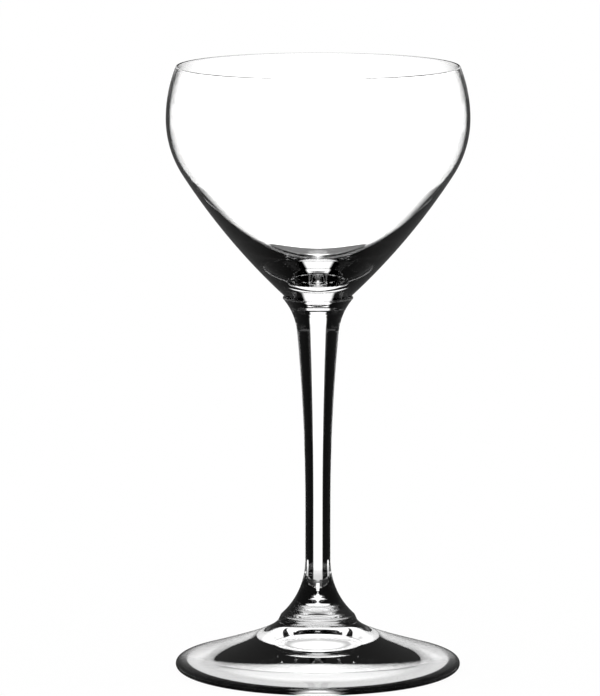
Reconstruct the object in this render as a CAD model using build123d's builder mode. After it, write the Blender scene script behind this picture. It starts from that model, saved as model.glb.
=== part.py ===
"""Nick and nora cocktail glass in three pieces of clear glass, fused end to end.

A thin-walled bowl with a heavy base sits on the head of a drawn stem, and the stem's flare
stands on a pressed conical foot that is hollow underneath. All three are turned about the Z
axis. The origin is the centre of the foot's resting plane, Z points up, lengths are in
millimetres and angles in degrees.
"""
import math
import os

from build123d import *

os.makedirs("parts", exist_ok=True)

# Bowl, from the lip down to the seam with the stem
total_height = 150.0
rim_radius = 34.9
belly_radius = 37.35
belly_drop = 13.0            # lip down to the widest circle
shoulder_radius = 25.2       # arc below the widest circle
shoulder_sweep = 32.6
bowl_height = 57.15          # lip down to the seam with the stem
bowl_base_radius = 7.95
wall = 0.7                   # from the lip to the end of the shoulder
bowl_floor = 5.2             # solid glass between the seam and the inside
well_drop = 0.81             # slanting pull of the inside below the wall, as a share of its depth
well_reach = 0.232           # level pull of the inside floor, as a share of its radius

# Stem, from its head down to the seam with the foot
head_radius = 8.65
head_edge = 0.35             # height of the head's upright edge
neck_height = 8.27           # hollow curve under the head
neck_radius = 5.17           # where the neck meets the long taper
waist_radius = 3.13
waist_height = 13.3          # straight stretch between the taper and the flare
flare_height = 13.7
flare_radius = 9.2
stem_base_radius = 9.85
stem_base_edge = 1.45        # height of the flare's lower edge

# Foot, from its seat out over the cone to the edge, and the hollow underneath
foot_height = 11.75
seat_radius = 9.95
seat_slope = 63.0
seat_pull = 2.2              # how far the seat's slope carries down the cone
cone_slope = 17.2
cone_pull = 18.0             # how far the cone's slope carries in from the edge
foot_radius = 35.35
edge_radius = 1.0            # full round between the cone and the ring
ring_width = 2.3             # flat ring that the glass rests on
hollow_top = 3.1             # glass left between the hollow and the seam
hollow_reach = 5.5           # level pull of the hollow's top
hollow_mid_radius = 14.0     # where the hollow's top passes into its skirt
hollow_mid_drop = 4.45       # from the hollow's top down to that circle
hollow_mid_slope = 10.8
hollow_mid_pull = 4.0        # how far that slope carries up
skirt_pull = 6.0             # and how far it carries down
ring_slope = 17.3            # skirt at the ring
ring_pull = 5.0

# Heights of the two seams and of the places between them
bowl_seam = total_height - bowl_height
belly_z = total_height - belly_drop
rim_z = total_height - wall / 2
floor_z = bowl_seam + bowl_floor
head_bottom = bowl_seam - head_edge
neck_bottom = head_bottom - neck_height
flare_bottom = foot_height + stem_base_edge
waist_bottom = flare_bottom + flare_height
waist_top = waist_bottom + waist_height

UP, DOWN = (0, 1), (0, -1)


def heading(degrees):
    """Direction at this angle above the outward level line."""
    return Vector(math.cos(math.radians(degrees)), math.sin(math.radians(degrees)))


# Bowl: outside from the seam up to the lip, then the inside down to its floor
inner_radius = belly_radius - wall
well_bottom = Vector(0, floor_z)
with BuildPart() as bowl:
    with BuildSketch(Plane.XZ):
        with BuildLine():
            belly = (belly_radius, belly_z)
            shoulder = JernArc(belly, DOWN, shoulder_radius, -shoulder_sweep)
            TangentArc(shoulder @ 1, (bowl_base_radius, bowl_seam), tangent=shoulder % 1)
            middle = TangentArc(
                (belly_radius - wall / 2, belly_z),
                (rim_radius - wall / 2, rim_z),
                tangent=UP,
                mode=Mode.PRIVATE,
            )
            across = (middle % 1).rotate(Axis.Z, -90) * (wall / 2)
            outer = TangentArc(belly, middle @ 1 + across, tangent=UP)
            inner = TangentArc((inner_radius, belly_z), middle @ 1 - across, tangent=UP)
            TangentArc(outer @ 1, inner @ 1, tangent=outer % 1)
            well_top = JernArc(inner @ 0, DOWN, shoulder_radius - wall, -shoulder_sweep)
            well_size = well_top @ 1 - well_bottom
            Bezier(
                well_top @ 1,
                well_top @ 1 + well_top % 1 * well_drop * well_size.Y,
                well_bottom + Vector(well_reach * well_size.X, 0),
                well_bottom,
            )
            Polyline(well_bottom, (0, bowl_seam), (bowl_base_radius, bowl_seam))
        make_face()
    revolve(axis=Axis.Z)
bowl.part.label = "bowl"
export_step(bowl.part, "parts/bowl.step")

# Stem: head, neck, long taper, waist and flare, between two level seams
with BuildPart() as stem:
    with BuildSketch(Plane.XZ):
        with BuildLine():
            taper = TangentArc((waist_radius, waist_top), (neck_radius, neck_bottom), tangent=UP)
            TangentArc(taper @ 1, (head_radius, head_bottom), tangent=taper % 1)
            Polyline(
                (head_radius, head_bottom),
                (head_radius, bowl_seam),
                (0, bowl_seam),
                (0, foot_height),
                (stem_base_radius, foot_height),
                (flare_radius, flare_bottom),
            )
            TangentArc((waist_radius, waist_bottom), (flare_radius, flare_bottom), tangent=DOWN)
            Line((waist_radius, waist_bottom), (waist_radius, waist_top))
        make_face()
    revolve(axis=Axis.Z)
stem.part.label = "stem"
export_step(stem.part, "parts/stem.step")

# Foot: seat, cone and rounded edge above, resting ring and hollow below
seat = Vector(seat_radius, foot_height)
edge_centre = Vector(foot_radius - edge_radius, edge_radius)
cone_end = edge_centre + heading(90 - cone_slope) * edge_radius
ring_inner = Vector(edge_centre.X - ring_width, 0)
hollow_z = foot_height - hollow_top
hollow_mid = Vector(hollow_mid_radius, hollow_z - hollow_mid_drop)
with BuildPart() as foot:
    with BuildSketch(Plane.XZ):
        with BuildLine():
            Bezier(
                seat,
                seat + heading(-seat_slope) * seat_pull,
                cone_end - heading(-cone_slope) * cone_pull,
                cone_end,
            )
            edge = JernArc(cone_end, heading(-cone_slope), edge_radius, cone_slope - 180)
            Line(edge @ 1, ring_inner)
            Bezier(
                ring_inner,
                ring_inner - heading(-ring_slope) * ring_pull,
                hollow_mid + heading(-hollow_mid_slope) * skirt_pull,
                hollow_mid,
            )
            Bezier(
                hollow_mid,
                hollow_mid - heading(-hollow_mid_slope) * hollow_mid_pull,
                (hollow_reach, hollow_z),
                (0, hollow_z),
            )
            Polyline((0, hollow_z), (0, foot_height), seat)
        make_face()
    revolve(axis=Axis.Z)
foot.part.label = "foot"
export_step(foot.part, "parts/foot.step")
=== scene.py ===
# %% [markdown]
# A nick and nora glass is three pieces of clear glass fused end to end: a thin bowl, a drawn
# stem and a conical foot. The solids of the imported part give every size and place, and this
# lesson dresses them: fine turned meshes that bend light smoothly, a glass that is clear but
# not sterile, and the kind of light that a studio uses to draw dark edges on clear glass.

import math

import bmesh
import bpy
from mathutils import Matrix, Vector
from mathutils.geometry import interpolate_bezier


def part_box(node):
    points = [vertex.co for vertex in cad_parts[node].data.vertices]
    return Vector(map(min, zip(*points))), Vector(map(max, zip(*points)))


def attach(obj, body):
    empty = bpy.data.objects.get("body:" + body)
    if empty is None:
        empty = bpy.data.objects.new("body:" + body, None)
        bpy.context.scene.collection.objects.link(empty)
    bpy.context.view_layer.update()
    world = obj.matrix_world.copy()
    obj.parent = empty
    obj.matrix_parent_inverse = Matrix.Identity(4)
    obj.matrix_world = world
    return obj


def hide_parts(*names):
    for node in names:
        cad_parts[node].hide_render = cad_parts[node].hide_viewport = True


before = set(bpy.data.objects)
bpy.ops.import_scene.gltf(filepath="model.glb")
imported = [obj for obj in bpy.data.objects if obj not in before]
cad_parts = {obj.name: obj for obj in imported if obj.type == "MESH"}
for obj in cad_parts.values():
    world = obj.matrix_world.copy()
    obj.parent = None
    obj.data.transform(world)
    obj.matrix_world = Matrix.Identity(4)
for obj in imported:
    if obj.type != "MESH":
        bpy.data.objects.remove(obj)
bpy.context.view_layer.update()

# %% [markdown]
# Glass is all surface and light, so the camera is settled first. It stands where the
# photograph was taken: a long way off, a little above the rim, looking slightly down. The
# focal length is kept in pixels of the photograph, and Blender wants it in millimetres of
# sensor along the longer side of the picture.

# %% Camera
PHOTO_HEIGHT = 696
FOCAL_PIXELS = 5309.6
SENSOR_MM = 36.0
CAMERA_PLACE = Vector((-0.00443, -1.2959, 0.272))
CAMERA_PITCH = 0.147

camera = bpy.data.objects.new("camera", bpy.data.cameras.new("camera"))
camera.data.sensor_width = SENSOR_MM
camera.data.lens = FOCAL_PIXELS * SENSOR_MM / PHOTO_HEIGHT
camera.location = CAMERA_PLACE
camera.rotation_euler = (math.pi / 2 - CAMERA_PITCH, 0, 0)
bpy.context.scene.collection.objects.link(camera)
bpy.context.scene.camera = camera
print(f"Camera: {camera.data.lens:.0f} mm lens at {CAMERA_PLACE.length:.2f} m")

# %% [markdown]
# Each piece is a profile turned about the Z axis. The CAD meshes are made of facets, and a
# facet in glass is a little mirror, so the profiles are drawn again as curves and turned in
# many small steps. The boxes of the CAD nodes give the outer sizes, so the new pieces fill
# exactly the same space. Profile points are (radius, height) pairs in metres.

# %% Profile helpers
MM = 0.001
ARC_SPACING = 0.35 * MM
LEAST_ARC_STEPS = 6
CURVE_POINTS = 90
UP, DOWN = Vector((0, 1)), Vector((0, -1))


def towards(degrees):
    """Unit direction at this angle above the outward level line."""
    return Vector((math.cos(math.radians(degrees)), math.sin(math.radians(degrees))))


def arc_to(start, direction, end, spacing=ARC_SPACING):
    """Points of the arc that leaves start in this direction and reaches end."""
    start, end = Vector(start), Vector(end)
    direction = Vector(direction).normalized()
    side = Vector((-direction.y, direction.x))
    chord = end - start
    radius = chord.length_squared / (2 * chord.dot(side))
    centre = start + side * radius
    first = math.atan2(start.y - centre.y, start.x - centre.x)
    sweep = 2 * math.atan2(chord.dot(side), chord.dot(direction))
    steps = max(LEAST_ARC_STEPS, round(abs(sweep * radius) / spacing))
    return [centre + abs(radius) * Vector((math.cos(first + sweep * i / steps),
                                          math.sin(first + sweep * i / steps)))
            for i in range(steps + 1)]


def curve(start, pull_start, pull_end, end, points=CURVE_POINTS):
    """Points of the cubic curve between two ends, with a control point for each."""
    corners = [Vector(p).to_3d() for p in (start, pull_start, pull_end, end)]
    return [p.to_2d() for p in interpolate_bezier(*corners, points)]


def last_direction(points):
    """Direction in which a run of points arrives."""
    return (points[-1] - points[-2]).normalized()


print("Points along an arc are", ARC_SPACING / MM, "mm apart")

# %% [markdown]
# The turning itself is Blender's spin operator: it sweeps the chain of profile edges round
# the axis and makes the faces. Points on the axis are merged to one, normals are pointed
# out of the glass, and edges that are sharp on the real piece stay sharp in the shading.

# %% Turning helpers
TURN_STEPS = 192
SHARP_ANGLE = math.radians(28)
MERGE_DISTANCE = 1e-7
LEAST_STEP = 0.03 * MM


def turned(name, profile):
    """A mesh object made by spinning a profile about Z."""
    shape = bmesh.new()
    verts = [shape.verts.new((p.x, 0, p.y)) for p in profile]
    edges = [shape.edges.new(pair) for pair in zip(verts, verts[1:])]
    bmesh.ops.spin(shape, geom=verts + edges, cent=(0, 0, 0), axis=(0, 0, 1),
                   angle=2 * math.pi, steps=TURN_STEPS, use_merge=True)
    bmesh.ops.remove_doubles(shape, verts=shape.verts, dist=MERGE_DISTANCE)
    bmesh.ops.recalc_face_normals(shape, faces=shape.faces)
    mesh = bpy.data.meshes.new(name)
    shape.to_mesh(mesh)
    shape.free()
    mesh.shade_smooth()
    mesh.set_sharp_from_angle(angle=SHARP_ANGLE)
    piece = bpy.data.objects.new(name, mesh)
    bpy.context.scene.collection.objects.link(piece)
    print(f"{name}: {len(mesh.polygons)} faces")
    return piece


def thinned(points):
    """The points without those that repeat their neighbour."""
    kept = [Vector(points[0])]
    for point in points[1:]:
        if (Vector(point) - kept[-1]).length > LEAST_STEP:
            kept.append(Vector(point))
    return kept


print("A full turn takes", TURN_STEPS, "steps")

# %% [markdown]
# The bowl leans in at the rim, is widest a little below it, and then runs down in two arcs
# to a narrow base. The wall is under a millimetre at the lip, where the fire has rounded it,
# and it grows into several millimetres of solid glass over the stem. That heavy base is a
# lens: it is what draws the two dark wedges in the lower half of the bowl.

# %% Bowl outside
bowl_low, bowl_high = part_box("bowl")
BELLY_RADIUS = bowl_high.x
TOP = bowl_high.z
BOWL_SEAM = bowl_low.z
RIM_RADIUS = 34.9 * MM
BELLY_DROP = 13.0 * MM
SHOULDER_RADIUS = 25.2 * MM
SHOULDER_SWEEP = 32.6
BOWL_BASE_RADIUS = 7.95 * MM
WALL = 0.7 * MM
LIP_STEPS = 18

belly_z = TOP - BELLY_DROP
rim_middle = Vector((RIM_RADIUS - WALL / 2, TOP - WALL / 2))
middle = arc_to((BELLY_RADIUS - WALL / 2, belly_z), UP, rim_middle)
lean = last_direction(middle)
across = Vector((lean.y, -lean.x)) * (WALL / 2)
lip_start = math.degrees(math.atan2(across.y, across.x))
lip = [rim_middle + across.length * towards(lip_start + 180 / LIP_STEPS * i)
       for i in range(LIP_STEPS + 1)]
shoulder_centre = Vector((BELLY_RADIUS - SHOULDER_RADIUS, belly_z))
shoulder_end = shoulder_centre + SHOULDER_RADIUS * towards(-SHOULDER_SWEEP)
down_flank = towards(-90 - SHOULDER_SWEEP)
flank = arc_to(shoulder_end, down_flank, (BOWL_BASE_RADIUS, BOWL_SEAM))
shoulder = arc_to((BELLY_RADIUS, belly_z), DOWN, shoulder_end)
outer_wall = arc_to((BELLY_RADIUS, belly_z), UP, rim_middle + across)
print(f"Bowl outside: {len(flank) + len(shoulder) + len(outer_wall)} points")

# %% Bowl inside
BOWL_FLOOR = 5.2 * MM
WELL_DROP = 0.81
WELL_REACH = 0.232
WELL_POINTS = 150
BASE_STEPS = 12

floor_z = BOWL_SEAM + BOWL_FLOOR
inner_radius = BELLY_RADIUS - WALL
well_top = shoulder_centre + (SHOULDER_RADIUS - WALL) * towards(-SHOULDER_SWEEP)
inner_wall = arc_to((inner_radius, belly_z), UP, rim_middle - across)
inner_shoulder = arc_to((inner_radius, belly_z), DOWN, well_top)
well = curve(well_top, well_top + down_flank * WELL_DROP * (well_top.y - floor_z),
             (WELL_REACH * well_top.x, floor_z), (0, floor_z), WELL_POINTS)
base = [Vector((BOWL_BASE_RADIUS * i / BASE_STEPS, BOWL_SEAM)) for i in range(BASE_STEPS + 1)]
bowl_profile = base + flank[::-1] + shoulder[::-1] + outer_wall + lip
bowl_profile += inner_wall[::-1] + inner_shoulder + well
bowl = turned("bowl_glass", thinned(bowl_profile))

# %% [markdown]
# The stem is drawn from the hot glass under the bowl: a hollow neck, a long slow taper, a
# slim waist and a flare that was pressed onto the foot. Where the two ends were fused the
# tools have left fine rings, about a hundredth of a millimetre high. They are far too small
# for the outline, but each one bends the light into a bright or dark line.

# %% Stem sizes
stem_low, stem_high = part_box("stem")
STEM_BASE_RADIUS = stem_high.x
FOOT_SEAM = stem_low.z
HEAD_RADIUS = 8.65 * MM
HEAD_EDGE = 0.35 * MM
NECK_HEIGHT = 8.27 * MM
NECK_RADIUS = 5.17 * MM
WAIST_RADIUS = 3.13 * MM
WAIST_HEIGHT = 13.3 * MM
FLARE_HEIGHT = 13.7 * MM
FLARE_RADIUS = 9.2 * MM
STEM_BASE_EDGE = 1.45 * MM

head_bottom = BOWL_SEAM - HEAD_EDGE
neck_bottom = head_bottom - NECK_HEIGHT
flare_bottom = FOOT_SEAM + STEM_BASE_EDGE
waist_bottom = flare_bottom + FLARE_HEIGHT
waist_top = waist_bottom + WAIST_HEIGHT
print(f"Stem: waist from {waist_bottom / MM:.1f} to {waist_top / MM:.1f} mm")

# %% Tool rings
RING_PITCH = 0.95 * MM
RING_HEIGHT = 0.012 * MM
RING_REACH = 7.0 * MM
RING_SPACING = RING_PITCH / 10


def tool_rings(points):
    """The same points with fine rings that fade away from the two fused ends."""
    ringed = []
    for point in points:
        from_end = min(BOWL_SEAM - point.y, point.y - FOOT_SEAM)
        fade = math.exp(-(from_end / RING_REACH) ** 2)
        wave = math.sin(2 * math.pi * from_end / RING_PITCH)
        ringed.append(Vector((point.x + RING_HEIGHT * fade * wave, point.y)))
    return ringed


print("Tool rings:", RING_HEIGHT / MM, "mm high")

# %% Turn the stem
flare = arc_to((WAIST_RADIUS, waist_bottom), DOWN, (FLARE_RADIUS, flare_bottom), RING_SPACING)
taper = arc_to((WAIST_RADIUS, waist_top), UP, (NECK_RADIUS, neck_bottom))
neck = arc_to(taper[-1], last_direction(taper), (HEAD_RADIUS, head_bottom), RING_SPACING)
stem_profile = [Vector((0, FOOT_SEAM)), Vector((STEM_BASE_RADIUS, FOOT_SEAM))]
stem_profile += tool_rings(flare[::-1] + taper + neck)
stem_profile += [Vector((radius, BOWL_SEAM)) for radius in (HEAD_RADIUS, BOWL_BASE_RADIUS, 0)]
stem = turned("stem_glass", thinned(stem_profile))

# %% [markdown]
# The foot is pressed: a cone that sweeps up to the seat of the stem, a rounded edge, a narrow
# flat ring to stand on, and a hollow under the whole of it. The hollow can hardly be seen as
# a shape, but its surface mirrors from inside, and that mirror is what paints the two dark
# lobes and the bright oval between the stem and the edge.

# %% Foot above
foot_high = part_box("foot")[1]
FOOT_RADIUS = foot_high.x
FOOT_HEIGHT = foot_high.z
SEAT_RADIUS = 9.95 * MM
SEAT_SLOPE = 63.0
SEAT_PULL = 2.2 * MM
CONE_SLOPE = 17.2
CONE_PULL = 18.0 * MM
EDGE_RADIUS = 1.0 * MM
EDGE_STEPS = 40

seat = Vector((SEAT_RADIUS, FOOT_HEIGHT))
edge_centre = Vector((FOOT_RADIUS - EDGE_RADIUS, EDGE_RADIUS))
edge_turn = (180 - CONE_SLOPE) / EDGE_STEPS
edge = [edge_centre + EDGE_RADIUS * towards(90 - CONE_SLOPE - edge_turn * i)
        for i in range(EDGE_STEPS + 1)]
cone_end = edge[0]
cone = curve(seat, seat + towards(-SEAT_SLOPE) * SEAT_PULL,
             cone_end - towards(-CONE_SLOPE) * CONE_PULL, cone_end)
print(f"Foot: {len(cone)} points on the cone, {len(edge)} round the edge")

# %% Foot below
RING_WIDTH = 2.3 * MM
HOLLOW_TOP = 3.1 * MM
HOLLOW_REACH = 5.5 * MM
HOLLOW_MID_RADIUS = 14.0 * MM
HOLLOW_MID_DROP = 4.45 * MM
HOLLOW_MID_SLOPE = 10.8
HOLLOW_MID_PULL = 4.0 * MM
SKIRT_PULL = 6.0 * MM
RING_SLOPE = 17.3
RING_PULL = 5.0 * MM

ring_inner = edge[-1] - Vector((RING_WIDTH, 0))
hollow_z = FOOT_HEIGHT - HOLLOW_TOP
hollow_middle = Vector((HOLLOW_MID_RADIUS, hollow_z - HOLLOW_MID_DROP))
skirt = curve(ring_inner, ring_inner - towards(-RING_SLOPE) * RING_PULL,
              hollow_middle + towards(-HOLLOW_MID_SLOPE) * SKIRT_PULL, hollow_middle)
hollow = curve(hollow_middle, hollow_middle - towards(-HOLLOW_MID_SLOPE) * HOLLOW_MID_PULL,
               (HOLLOW_REACH, hollow_z), (0, hollow_z))
foot_profile = [Vector((0, FOOT_HEIGHT)), Vector((STEM_BASE_RADIUS, FOOT_HEIGHT))]
foot = turned("foot_glass", thinned(foot_profile + cone + edge + skirt + hollow))

# %% [markdown]
# Finish and light are made of shader nodes. A few helpers keep that short: one adds a node,
# one starts a node group, and three do arithmetic in whichever node tree is named tree at
# that point: a plain sum, a soft step and a soft band between two limits.

# %% Node helpers
SOFT_EDGE = 2.0


def node(tree, kind, **settings):
    """A new node of this kind, with its settings."""
    made = tree.nodes.new(kind)
    for name, value in settings.items():
        setattr(made, name, value)
    return made


def new_group(name, inputs, outputs):
    """An empty shader node group with float sockets, and its two end nodes."""
    group = bpy.data.node_groups.new(name, "ShaderNodeTree")
    for socket in inputs:
        group.interface.new_socket(socket, in_out="INPUT", socket_type="NodeSocketFloat")
    for socket in outputs:
        group.interface.new_socket(socket, in_out="OUTPUT", socket_type="NodeSocketFloat")
    return group, group.nodes.new("NodeGroupInput"), group.nodes.new("NodeGroupOutput")


def calculate(operation, first, second=0.0):
    """A math node on two sockets or numbers; gives its output."""
    made = node(tree, "ShaderNodeMath", operation=operation)
    for slot, value in zip(made.inputs, (first, second)):
        if isinstance(value, (int, float)):
            slot.default_value = value
        else:
            tree.links.new(value, slot)
    return made.outputs[0]


def below(value, limit, soft=SOFT_EDGE):
    """1 where the value is under the limit, 0 above it, with a soft step."""
    made = node(tree, "ShaderNodeMapRange", interpolation_type="SMOOTHSTEP")
    tree.links.new(value, made.inputs["Value"])
    made.inputs["From Min"].default_value = limit - soft
    made.inputs["From Max"].default_value = limit + soft
    made.inputs["To Min"].default_value = 1.0
    made.inputs["To Max"].default_value = 0.0
    return made.outputs["Result"]


def between(value, limits, soft=SOFT_EDGE):
    """1 where the value lies between two limits, with soft steps."""
    lower, upper = limits
    return calculate("SUBTRACT", below(value, upper, soft), below(value, lower, soft))


print("Soft steps are", 2 * SOFT_EDGE, "wide unless another width is given")

# %% [markdown]
# Clear glass still has a surface. Blown glass is very slightly wavy, drawn glass has faint
# streaks along its length, and every glass that has been used carries a little haze. Both
# effects are shader node groups, so each piece can have its own amount: one puts out a
# height for a Bump node, the other a roughness.

# %% Waves of the hot glass
WAVE_DETAIL = 1.0

waves, given, result = new_group("hot_glass_waves", ["Across", "Along"], ["Height"])
place = node(waves, "ShaderNodeTexCoord")
scale = node(waves, "ShaderNodeCombineXYZ")
stretched = node(waves, "ShaderNodeVectorMath", operation="MULTIPLY")
noise = node(waves, "ShaderNodeTexNoise")
noise.inputs["Scale"].default_value = 1.0
noise.inputs["Detail"].default_value = WAVE_DETAIL
for axis in "XY":
    waves.links.new(given.outputs["Across"], scale.inputs[axis])
waves.links.new(given.outputs["Along"], scale.inputs["Z"])
waves.links.new(place.outputs["Object"], stretched.inputs[0])
waves.links.new(scale.outputs[0], stretched.inputs[1])
waves.links.new(stretched.outputs[0], noise.inputs["Vector"])
waves.links.new(noise.outputs["Fac"], result.inputs["Height"])
print("Group:", waves.name)

# %% Haze of handling, and of the table under the foot
SMUDGE_SCALE = 90.0
SMUDGE_DETAIL = 3.0
SMUDGE_RANGE = (0.62, 0.8)

haze, given, result = new_group("handling_haze", ["Smudge", "Rub", "Rub Height"], ["Roughness"])
tree = haze
place = node(tree, "ShaderNodeTexCoord")
smudges = node(tree, "ShaderNodeTexNoise")
smudges.inputs["Scale"].default_value = SMUDGE_SCALE
smudges.inputs["Detail"].default_value = SMUDGE_DETAIL
tree.links.new(place.outputs["Object"], smudges.inputs["Vector"])
patches = node(tree, "ShaderNodeMapRange")
patches.inputs["From Min"].default_value, patches.inputs["From Max"].default_value = SMUDGE_RANGE
tree.links.new(smudges.outputs["Fac"], patches.inputs["Value"])
height = node(tree, "ShaderNodeSeparateXYZ")
tree.links.new(place.outputs["Object"], height.inputs[0])
smudged = calculate("MULTIPLY", patches.outputs["Result"], given.outputs["Smudge"])
at_table = calculate("LESS_THAN", height.outputs["Z"], given.outputs["Rub Height"])
rubbed = calculate("MULTIPLY", at_table, given.outputs["Rub"])
tree.links.new(calculate("ADD", smudged, rubbed), result.inputs["Roughness"])
print("Group:", haze.name)

# %% [markdown]
# Each piece gets its own glass from the same recipe. Soda glass bends light with an index of
# 1.52, and that one number makes nearly all of the look. The waves of the stem are stretched
# along it, and the foot is rubbed dull where it stands on tables.

# %% Glass materials
GLASS_INDEX = 1.52
RUB_HEIGHT = 0.1 * MM


def clear_glass(name, across, along, wave_height, smudge, rub):
    """Clear glass with this much waviness and haze."""
    material = bpy.data.materials.new(name)
    material.use_nodes = True
    tree = material.node_tree
    shader = tree.nodes["Principled BSDF"]
    shader.inputs["Base Color"].default_value = (1, 1, 1, 1)
    shader.inputs["IOR"].default_value = GLASS_INDEX
    shader.inputs["Transmission Weight"].default_value = 1.0
    wavy = node(tree, "ShaderNodeGroup", node_tree=waves)
    wavy.inputs["Across"].default_value = across
    wavy.inputs["Along"].default_value = along
    bump = node(tree, "ShaderNodeBump")
    bump.inputs["Strength"].default_value = 1.0
    bump.inputs["Distance"].default_value = wave_height
    tree.links.new(wavy.outputs["Height"], bump.inputs["Height"])
    tree.links.new(bump.outputs["Normal"], shader.inputs["Normal"])
    hazy = node(tree, "ShaderNodeGroup", node_tree=haze)
    hazy.inputs["Smudge"].default_value = smudge
    hazy.inputs["Rub"].default_value = rub
    hazy.inputs["Rub Height"].default_value = RUB_HEIGHT
    tree.links.new(hazy.outputs["Roughness"], shader.inputs["Roughness"])
    return material


bowl_finish = clear_glass("bowl_clear_glass", across=60, along=60,
                          wave_height=0.006 * MM, smudge=0.03, rub=0.0)
stem_finish = clear_glass("stem_clear_glass", across=400, along=60,
                          wave_height=0.002 * MM, smudge=0.02, rub=0.0)
foot_finish = clear_glass("foot_clear_glass", across=120, along=120,
                          wave_height=0.006 * MM, smudge=0.03, rub=0.15)
print("Glass index:", GLASS_INDEX)

# %% [markdown]
# The fused seams inside the object must not be seen at all, because there the glass is one.
# Their faces stay in the meshes, so that each piece is closed, and get a second material that
# lets everything through.

# %% Fused seams
SEAM_TOLERANCE = 1e-6

fused = bpy.data.materials.new("fused_seam")
fused.use_nodes = True
fused.node_tree.nodes["Principled BSDF"].inputs["Alpha"].default_value = 0.0


def dress(piece, finish, seams):
    """Gives a piece its glass, and the clear seam material to faces on a fused seam."""
    piece.data.materials.append(finish)
    piece.data.materials.append(fused)
    count = 0
    for face in piece.data.polygons:
        for height, radius in seams:
            if abs(face.center.z - height) < SEAM_TOLERANCE and face.center.xy.length < radius:
                face.material_index = 1
                count += 1
    print(f"{piece.name}: {count} faces on fused seams")


bowl_to_stem = (BOWL_SEAM, BOWL_BASE_RADIUS)
stem_to_foot = (FOOT_SEAM, STEM_BASE_RADIUS)
dress(bowl, bowl_finish, [bowl_to_stem])
dress(stem, stem_finish, [bowl_to_stem, stem_to_foot])
dress(foot, foot_finish, [stem_to_foot])

# %% [markdown]
# Light that enters through the round lip is caught: it bounces down between the two faces of
# the thin wall, far more often than a render follows it, and would end as black. In the photo
# the far rim all but vanishes. So Light Path picks out the rays that have made many short hops
# in the upper wall, and the bowl's glass glows for them alone: a painted glow, emission on the
# glass that stands in for the light the render doesn't follow.

# %% Painted glow for light caught in the wall
CAUGHT_BOUNCE = 7
CAUGHT_REACH = 8 * MM
CAUGHT_HOP = 2 * MM

tree = bowl_finish.node_tree
light_path = node(tree, "ShaderNodeLightPath")
height = node(tree, "ShaderNodeSeparateXYZ")
tree.links.new(node(tree, "ShaderNodeTexCoord").outputs["Object"], height.inputs[0])
at_bounce = calculate("COMPARE", light_path.outputs["Glossy Depth"], CAUGHT_BOUNCE)
near_lip = calculate("GREATER_THAN", height.outputs["Z"], TOP - CAUGHT_REACH)
short_hop = calculate("LESS_THAN", light_path.outputs["Ray Length"], CAUGHT_HOP)
# Painted glow: where these rays end, the bowl's glass emits light of its own.
painted_lip_glow = calculate("MULTIPLY", calculate("MULTIPLY", at_bounce, near_lip), short_hop)
tree.links.new(painted_lip_glow, tree.nodes["Principled BSDF"].inputs["Emission Strength"])
bowl_finish.cycles.emission_sampling = "NONE"
print("Light is caught after", CAUGHT_BOUNCE, "bounces in the wall")

# %% [markdown]
# A photographer lights clear glass from behind: a bright panel, and dark cards on both sides
# of it. Glass that bends light sideways shows a card instead of the panel, and so draws its
# own dark outline. Here the world plays panels and cards. A direction in it is told by its
# turn away from straight behind and its rise above level, both in degrees.

# %% Directions in the world
world = bpy.data.worlds.new("studio")
bpy.context.scene.world = world
world.use_nodes = True
world.cycles.sampling_method = "NONE"
tree = world.node_tree
direction = node(tree, "ShaderNodeSeparateXYZ")
tree.links.new(node(tree, "ShaderNodeTexCoord").outputs["Generated"], direction.inputs[0])
sideways = calculate("ARCTAN2", direction.outputs["X"], direction.outputs["Y"])
turn = calculate("MULTIPLY", calculate("ABSOLUTE", sideways), math.degrees(1))
rise = calculate("MULTIPLY", calculate("ARCSINE", direction.outputs["Z"]), math.degrees(1))
print("World:", world.name)

# %% [markdown]
# Tall panels stand behind the glass and in front of it. Alone they would leave the stem black
# when it is seen from elsewhere, so there are more panels round the sides, and low windows
# every 45 degrees that only rays towards the table can meet.

# %% Panels and windows
FINE_SOFT_EDGE = 1.0
PANEL_SPACING = 45.0
PANEL_HALF_WIDTH = 14.5
PANEL_TOP = 45.0
WINDOW_HALF_WIDTH = 6.0
WINDOW_TOP = -11.4
FRONT_PANEL_FROM = 155.0
SIDE_PANELS_FROM = 62.0

to_panel = calculate("PINGPONG", calculate("ADD", turn, PANEL_SPACING), PANEL_SPACING / 2)
panel = calculate("MULTIPLY", below(to_panel, PANEL_HALF_WIDTH), below(rise, PANEL_TOP))
window = calculate("MULTIPLY", below(to_panel, WINDOW_HALF_WIDTH),
                   below(rise, WINDOW_TOP, FINE_SOFT_EDGE / 2))
at_back = below(turn, PANEL_SPACING / 2)
at_front = calculate("GREATER_THAN", turn, FRONT_PANEL_FROM)
at_side = calculate("GREATER_THAN", turn, SIDE_PANELS_FROM)
tall = calculate("MULTIPLY", panel, calculate("MAXIMUM", at_back, at_front))
low = calculate("MAXIMUM", calculate("MULTIPLY", panel, at_side), window)
print("Panels:", 2 * PANEL_HALF_WIDTH, "degrees wide, every", PANEL_SPACING, "degrees")

# %% [markdown]
# Light Path tells the rays apart. One that crossed both walls of the bowl without a bounce
# inside the glass came through thin glass. It sees a panel behind that is narrower low down
# and dim where the table's front edge would be, and pale walls beside it. They are brighter
# than white, so that the bowl stays clear right up to a thin dark outline.

# %% Light through thin walls
THIN_WALL_CROSSINGS = 3.5
THIN_WALL_STRENGTH = 2.6
THIN_WALL_RISE = (-36.0, -9.0)
LOW_PANEL_HALF_WIDTH = 5.0
LOW_PANEL_TOP = -11.5
FRONT_OF_TABLE_RISE = (-50.0, -34.7)
FRONT_OF_TABLE_DIM = 0.88

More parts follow.
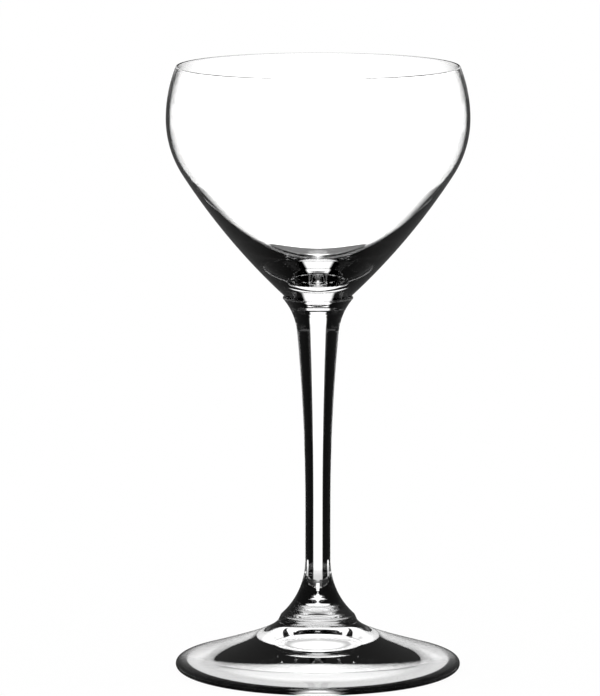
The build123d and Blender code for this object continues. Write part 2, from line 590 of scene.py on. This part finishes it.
light_path = node(tree, "ShaderNodeLightPath")
bounces = light_path.outputs["Glossy Depth"]
crossings = light_path.outputs["Transmission Depth"]
unbounced = calculate("LESS_THAN", bounces, 0.5)
is_thin = calculate("MULTIPLY", unbounced,
                    calculate("GREATER_THAN", crossings, THIN_WALL_CROSSINGS))
narrowing = calculate("MULTIPLY", below(rise, LOW_PANEL_TOP, FINE_SOFT_EDGE),
                      PANEL_HALF_WIDTH - LOW_PANEL_HALF_WIDTH)
behind = below(calculate("ADD", turn, narrowing), PANEL_HALF_WIDTH)
dimmed = calculate("MULTIPLY", between(rise, FRONT_OF_TABLE_RISE, FINE_SOFT_EDGE / 2),
                   FRONT_OF_TABLE_DIM)
behind = calculate("MULTIPLY", behind, calculate("SUBTRACT", 1.0, dimmed))
beside = calculate("MULTIPLY", between(rise, THIN_WALL_RISE),
                   calculate("GREATER_THAN", turn, PANEL_SPACING / 2))
lit_walls = calculate("MAXIMUM", behind, calculate("MAXIMUM", beside, at_side))
walls = calculate("MULTIPLY", calculate("MULTIPLY", is_thin, lit_walls), THIN_WALL_STRENGTH)
print("Thin walls are seen at strength", THIN_WALL_STRENGTH)

# %% [markdown]
# Every other ray through the glass went through thick glass and sees the panels. If it bounced
# inside, a dark card near eye level covers part of them, which draws the dark band in the
# foot's edge, and after half a dozen bounces the light is taken as lost. The low panels and
# windows are for rays that didn't bounce.

# %% Light through thick glass
PANEL_STRENGTH = 1.3
EDGE_CARD_RISE = (-21.0, -1.5)
LAST_LIT_BOUNCE = 6.5

edge_card = calculate("SUBTRACT", between(rise, EDGE_CARD_RISE, FINE_SOFT_EDGE), unbounced)
tall = calculate("SUBTRACT", tall, calculate("MAXIMUM", edge_card, 0.0))
tall = calculate("MULTIPLY", tall, calculate("LESS_THAN", bounces, LAST_LIT_BOUNCE))
panels = calculate("MAXIMUM", tall, calculate("MULTIPLY", unbounced, low))
thick_strength = calculate("SUBTRACT", PANEL_STRENGTH,
                           calculate("MULTIPLY", is_thin, PANEL_STRENGTH))
panels = calculate("MULTIPLY", panels, thick_strength)
print("Thick glass shows the panels at strength", PANEL_STRENGTH)

# %% [markdown]
# What the outer faces mirror is a dim room with a pale wall at each side. The camera, and the
# light that falls on matt things, meet plain white at strength 1.

# %% Mirrored light, and the sum
SIDE_WALL_RISE = (-8.7, -1.0)
SIDE_WALL_TURN = (30.0, 150.0)
ROOM_IN_MIRROR = 0.12

is_through = light_path.outputs["Is Transmission Ray"]
is_mirrored = calculate("GREATER_THAN", light_path.outputs["Is Glossy Ray"], is_through)
side_wall = calculate("MULTIPLY", between(rise, SIDE_WALL_RISE, FINE_SOFT_EDGE),
                      between(turn, SIDE_WALL_TURN))
mirrored = calculate("MULTIPLY", is_mirrored, calculate("MAXIMUM", side_wall, ROOM_IN_MIRROR))
seen_through = calculate("MULTIPLY", is_through, calculate("MAXIMUM", panels, walls))
by_glass = calculate("MAXIMUM", seen_through, mirrored)
plain = calculate("SUBTRACT", 1.0, calculate("MAXIMUM", is_through, is_mirrored))
background = tree.nodes["Background"]
background.inputs["Color"].default_value = (1, 1, 1, 1)
tree.links.new(calculate("ADD", plain, by_glass), background.inputs["Strength"])
print("Mirrored room:", ROOM_IN_MIRROR)

# %% [markdown]
# The glass stands on a plain white table. The camera sees white with a faint shadow where the
# foot keeps light off it. Light that comes through the glass passes the table and finds the
# panels below, as it does on a lit glass table, but a painted ring of shade round the middle of
# the foot lets less of it through. That painted shade stands in for the shade under the foot,
# and it turns the foot's outer part grey.

# %% Table
TABLE_HALF = 6.0
TABLE_DROP = 0.05 * MM

bpy.ops.mesh.primitive_plane_add(size=2 * TABLE_HALF, location=(0, 0, -TABLE_DROP))
table = bpy.context.object
table.name = "table"
paper = bpy.data.materials.new("white_table")
paper.use_nodes = True
table.data.materials.append(paper)
print("Table:", 2 * TABLE_HALF, "m square")

# %% What the table lets through, less in a painted shade under the foot
UNDER_FOOT_LIGHT = 0.55
UNDER_FOOT_INNER = (22 * MM, 4 * MM)
UNDER_FOOT_OUTER = (70 * MM, 25 * MM)

tree = paper.node_tree
tree.nodes.remove(tree.nodes["Principled BSDF"])
from_axis = node(tree, "ShaderNodeVectorMath", operation="LENGTH")
tree.links.new(node(tree, "ShaderNodeTexCoord").outputs["Object"], from_axis.inputs[0])
radius = from_axis.outputs["Value"]
# Painted shade: a ring round the foot's middle where the table passes less light.
painted_foot_shade = calculate("SUBTRACT", below(radius, *UNDER_FOOT_OUTER), below(radius, *UNDER_FOOT_INNER))
light_left = calculate("SUBTRACT", 1.0, calculate("MULTIPLY", painted_foot_shade, 1 - UNDER_FOOT_LIGHT))
clear = node(tree, "ShaderNodeBsdfTransparent")
tree.links.new(light_left, clear.inputs["Color"])
print("Light left under the foot:", UNDER_FOOT_LIGHT)

# %% What the camera sees of the table
TABLE_SHADE = 0.05

white = node(tree, "ShaderNodeEmission")
matt = node(tree, "ShaderNodeBsdfDiffuse")
matt.inputs["Color"].default_value = (1, 1, 1, 1)
lit = node(tree, "ShaderNodeMixShader")
lit.inputs["Fac"].default_value = TABLE_SHADE
tree.links.new(white.outputs[0], lit.inputs[1])
tree.links.new(matt.outputs[0], lit.inputs[2])
seen = node(tree, "ShaderNodeMixShader")
tree.links.new(node(tree, "ShaderNodeLightPath").outputs["Is Camera Ray"], seen.inputs["Fac"])
tree.links.new(clear.outputs[0], seen.inputs[1])
tree.links.new(lit.outputs[0], seen.inputs[2])
tree.links.new(seen.outputs[0], tree.nodes["Material Output"].inputs["Surface"])
print("Shadow on the table:", TABLE_SHADE)

# %% [markdown]
# Light crosses many surfaces in the stem and the heavy base before it leaves, so the render
# is allowed enough bounces to follow it. Then each piece is tied to the part's one body and
# stands for its CAD node.

# %% Finish
MOST_CROSSINGS = 32
MOST_REFLECTIONS = 16

scene = bpy.context.scene
scene.view_settings.view_transform = "Standard"
scene.cycles.max_bounces = MOST_CROSSINGS
scene.cycles.transmission_bounces = MOST_CROSSINGS
scene.cycles.transparent_max_bounces = MOST_CROSSINGS
scene.cycles.glossy_bounces = MOST_REFLECTIONS

for piece, solid in ((bowl, "bowl"), (stem, "stem"), (foot, "foot")):
    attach(piece, "root")
    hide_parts(solid)
